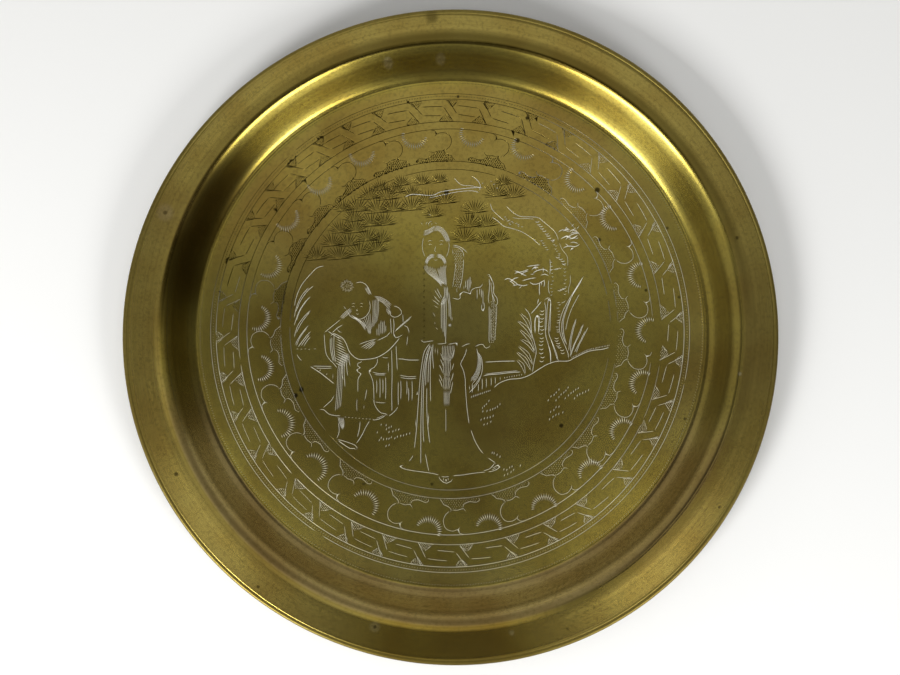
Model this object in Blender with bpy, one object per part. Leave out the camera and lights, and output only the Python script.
"""A round brass tray, 330 mm across: one spun sheet with a sunk well, an ogee wall, a broad flange
and an edge rolled under round a steel wire. Metres, +Z up, +Y towards the head of the engraved side.
The origin is under the middle of the rim, on the surface that the tray stands on."""

import math

import bmesh
import bpy
from mathutils import Vector

# Driving dimensions, in metres.
TRAY_DIAMETER = 0.330
SHEET = 0.0007            # thickness of the brass after spinning
SHOULDER_HEIGHT = 0.0170  # top of the flange at its inner edge
FLOOR_RADIUS = 0.1300     # where the flat floor turns up into the wall
SHOULDER_RADIUS = 0.1456  # where the wall meets the flange
FLANGE_FALL = 0.0007      # the flange drops by this much towards the rim
WELL_SHIFT_Y = 0.0020     # the well is spun this far off the middle of the rim
WIRE_DIAMETER = 0.0008
WIRE_CLEARANCE = 0.0003   # between the wire and the sheet rolled round it
WALL_SLOPE_LOW = math.radians(22)
WALL_SLOPE_HIGH = math.radians(30)
CURL_SWEEP = math.radians(292)    # how far the edge is rolled round the wire

ROUND_STEPS = 96          # facets round the tray
WALL_STEPS = 8
CURL_STEPS = 11
WIRE_SIDES = 8
MERGE_DISTANCE = 0.00001

BEAD_RADIUS = WIRE_DIAMETER / 2 + WIRE_CLEARANCE + SHEET / 2   # to the middle of the sheet
BEAD_CENTRE_RADIUS = TRAY_DIAMETER / 2 - BEAD_RADIUS - SHEET / 2
FLANGE_END_Z = SHOULDER_HEIGHT - SHEET / 2 - FLANGE_FALL
BEAD_CENTRE_Z = FLANGE_END_Z - BEAD_RADIUS + 0.0002            # the bead stands a little proud
GROOVE_RADIUS = BEAD_CENTRE_RADIUS - 0.0010


def clear_scene():
    for thing in list(bpy.data.objects):
        bpy.data.objects.remove(thing, do_unlink=True)


def metal(name, colour, roughness):
    material = bpy.data.materials.new(name)
    material.use_nodes = True
    shader = material.node_tree.nodes["Principled BSDF"]
    shader.inputs["Base Color"].default_value = (*colour, 1.0)
    shader.inputs["Metallic"].default_value = 1.0
    shader.inputs["Roughness"].default_value = roughness
    return material


def wall_point(share):
    """A point of the ogee wall's middle surface: shallow at the floor, steep, shallow at the flange."""
    run = SHOULDER_RADIUS - FLOOR_RADIUS
    rise = SHOULDER_HEIGHT - SHEET
    low = math.tan(WALL_SLOPE_LOW) * run
    high = math.tan(WALL_SLOPE_HIGH) * run
    height = ((share**3 - 2 * share**2 + share) * low
              + (3 * share**2 - 2 * share**3) * rise
              + (share**3 - share**2) * high)
    return Vector((FLOOR_RADIUS + run * share, SHEET / 2 + height))


def sheet_middle():
    """The middle of the sheet from the tray's axis to the cut edge inside the curl, as (radius, z)."""
    line = [Vector((0.0, SHEET / 2))]
    line += [wall_point(step / WALL_STEPS) for step in range(WALL_STEPS + 1)]
    line.append(Vector((GROOVE_RADIUS, FLANGE_END_Z)))
    start = math.radians(112)
    for step in range(CURL_STEPS + 1):
        angle = start - CURL_SWEEP * step / CURL_STEPS
        line.append(Vector((BEAD_CENTRE_RADIUS + BEAD_RADIUS * math.cos(angle),
                            BEAD_CENTRE_Z + BEAD_RADIUS * math.sin(angle))))
    return line


def offset_line(line, distance):
    """The line moved sideways, to the left of its direction, with mitred corners."""
    moved = []
    for index, point in enumerate(line):
        before = (point - line[index - 1]).normalized() if index else None
        after = (line[index + 1] - point).normalized() if index < len(line) - 1 else None
        before = before or after
        after = after or before
        left_before = Vector((-before.y, before.x))
        left_after = Vector((-after.y, after.x))
        mitre = (left_before + left_after).normalized()
        moved.append(point + mitre * distance / max(mitre.dot(left_after), 0.5))
    return moved


def well_share(radius):
    """1 over the well and its wall, falling to 0 at the groove beside the rim."""
    share = (GROOVE_RADIUS - radius) / (GROOVE_RADIUS - SHOULDER_RADIUS)
    return min(max(share, 0.0), 1.0)


def spun_object(name, outline, closed, material):
    """A solid of revolution about Z from an outline of (radius, z) points."""
    mesh = bpy.data.meshes.new(name)
    work = bmesh.new()
    points = [work.verts.new((radius, 0.0, z)) for radius, z in outline]
    edges = [work.edges.new(pair) for pair in zip(points, points[1:])]
    if closed:
        edges.append(work.edges.new((points[-1], points[0])))
    bmesh.ops.spin(work, geom=points + edges, cent=(0, 0, 0), axis=(0, 0, 1),
                   angle=2 * math.pi, steps=ROUND_STEPS, use_merge=True)
    bmesh.ops.remove_doubles(work, verts=work.verts, dist=MERGE_DISTANCE)
    bmesh.ops.recalc_face_normals(work, faces=work.faces)
    work.to_mesh(mesh)
    work.free()
    mesh.shade_smooth()
    mesh.set_sharp_from_angle(angle=math.radians(35))
    mesh.materials.append(material)
    thing = bpy.data.objects.new(name, mesh)
    bpy.context.scene.collection.objects.link(thing)
    return thing


def make_pan(material):
    """The dish: both faces of the sheet, joined at the cut edge that the curl hides."""
    middle = sheet_middle()
    upper = offset_line(middle, SHEET / 2)
    lower = offset_line(middle, -SHEET / 2)
    upper[0].x = 0.0
    lower[0].x = 0.0
    pan = spun_object("tray_pan", upper + lower[::-1], False, material)
    for vertex in pan.data.vertices:
        vertex.co.y += WELL_SHIFT_Y * well_share(math.hypot(vertex.co.x, vertex.co.y))
    return pan


def make_wire(material):
    """The ring of wire that the edge is rolled round."""
    circle = []
    for side in range(WIRE_SIDES):
        angle = 2 * math.pi * (side + 0.5) / WIRE_SIDES
        circle.append((BEAD_CENTRE_RADIUS + WIRE_DIAMETER / 2 * math.cos(angle),
                       BEAD_CENTRE_Z + WIRE_DIAMETER / 2 * math.sin(angle)))
    return spun_object("rim_wire", circle, True, material)


clear_scene()
make_pan(metal("aged_brass", (0.30, 0.23, 0.07), 0.30))
make_wire(metal("steel_wire", (0.35, 0.34, 0.32), 0.45))
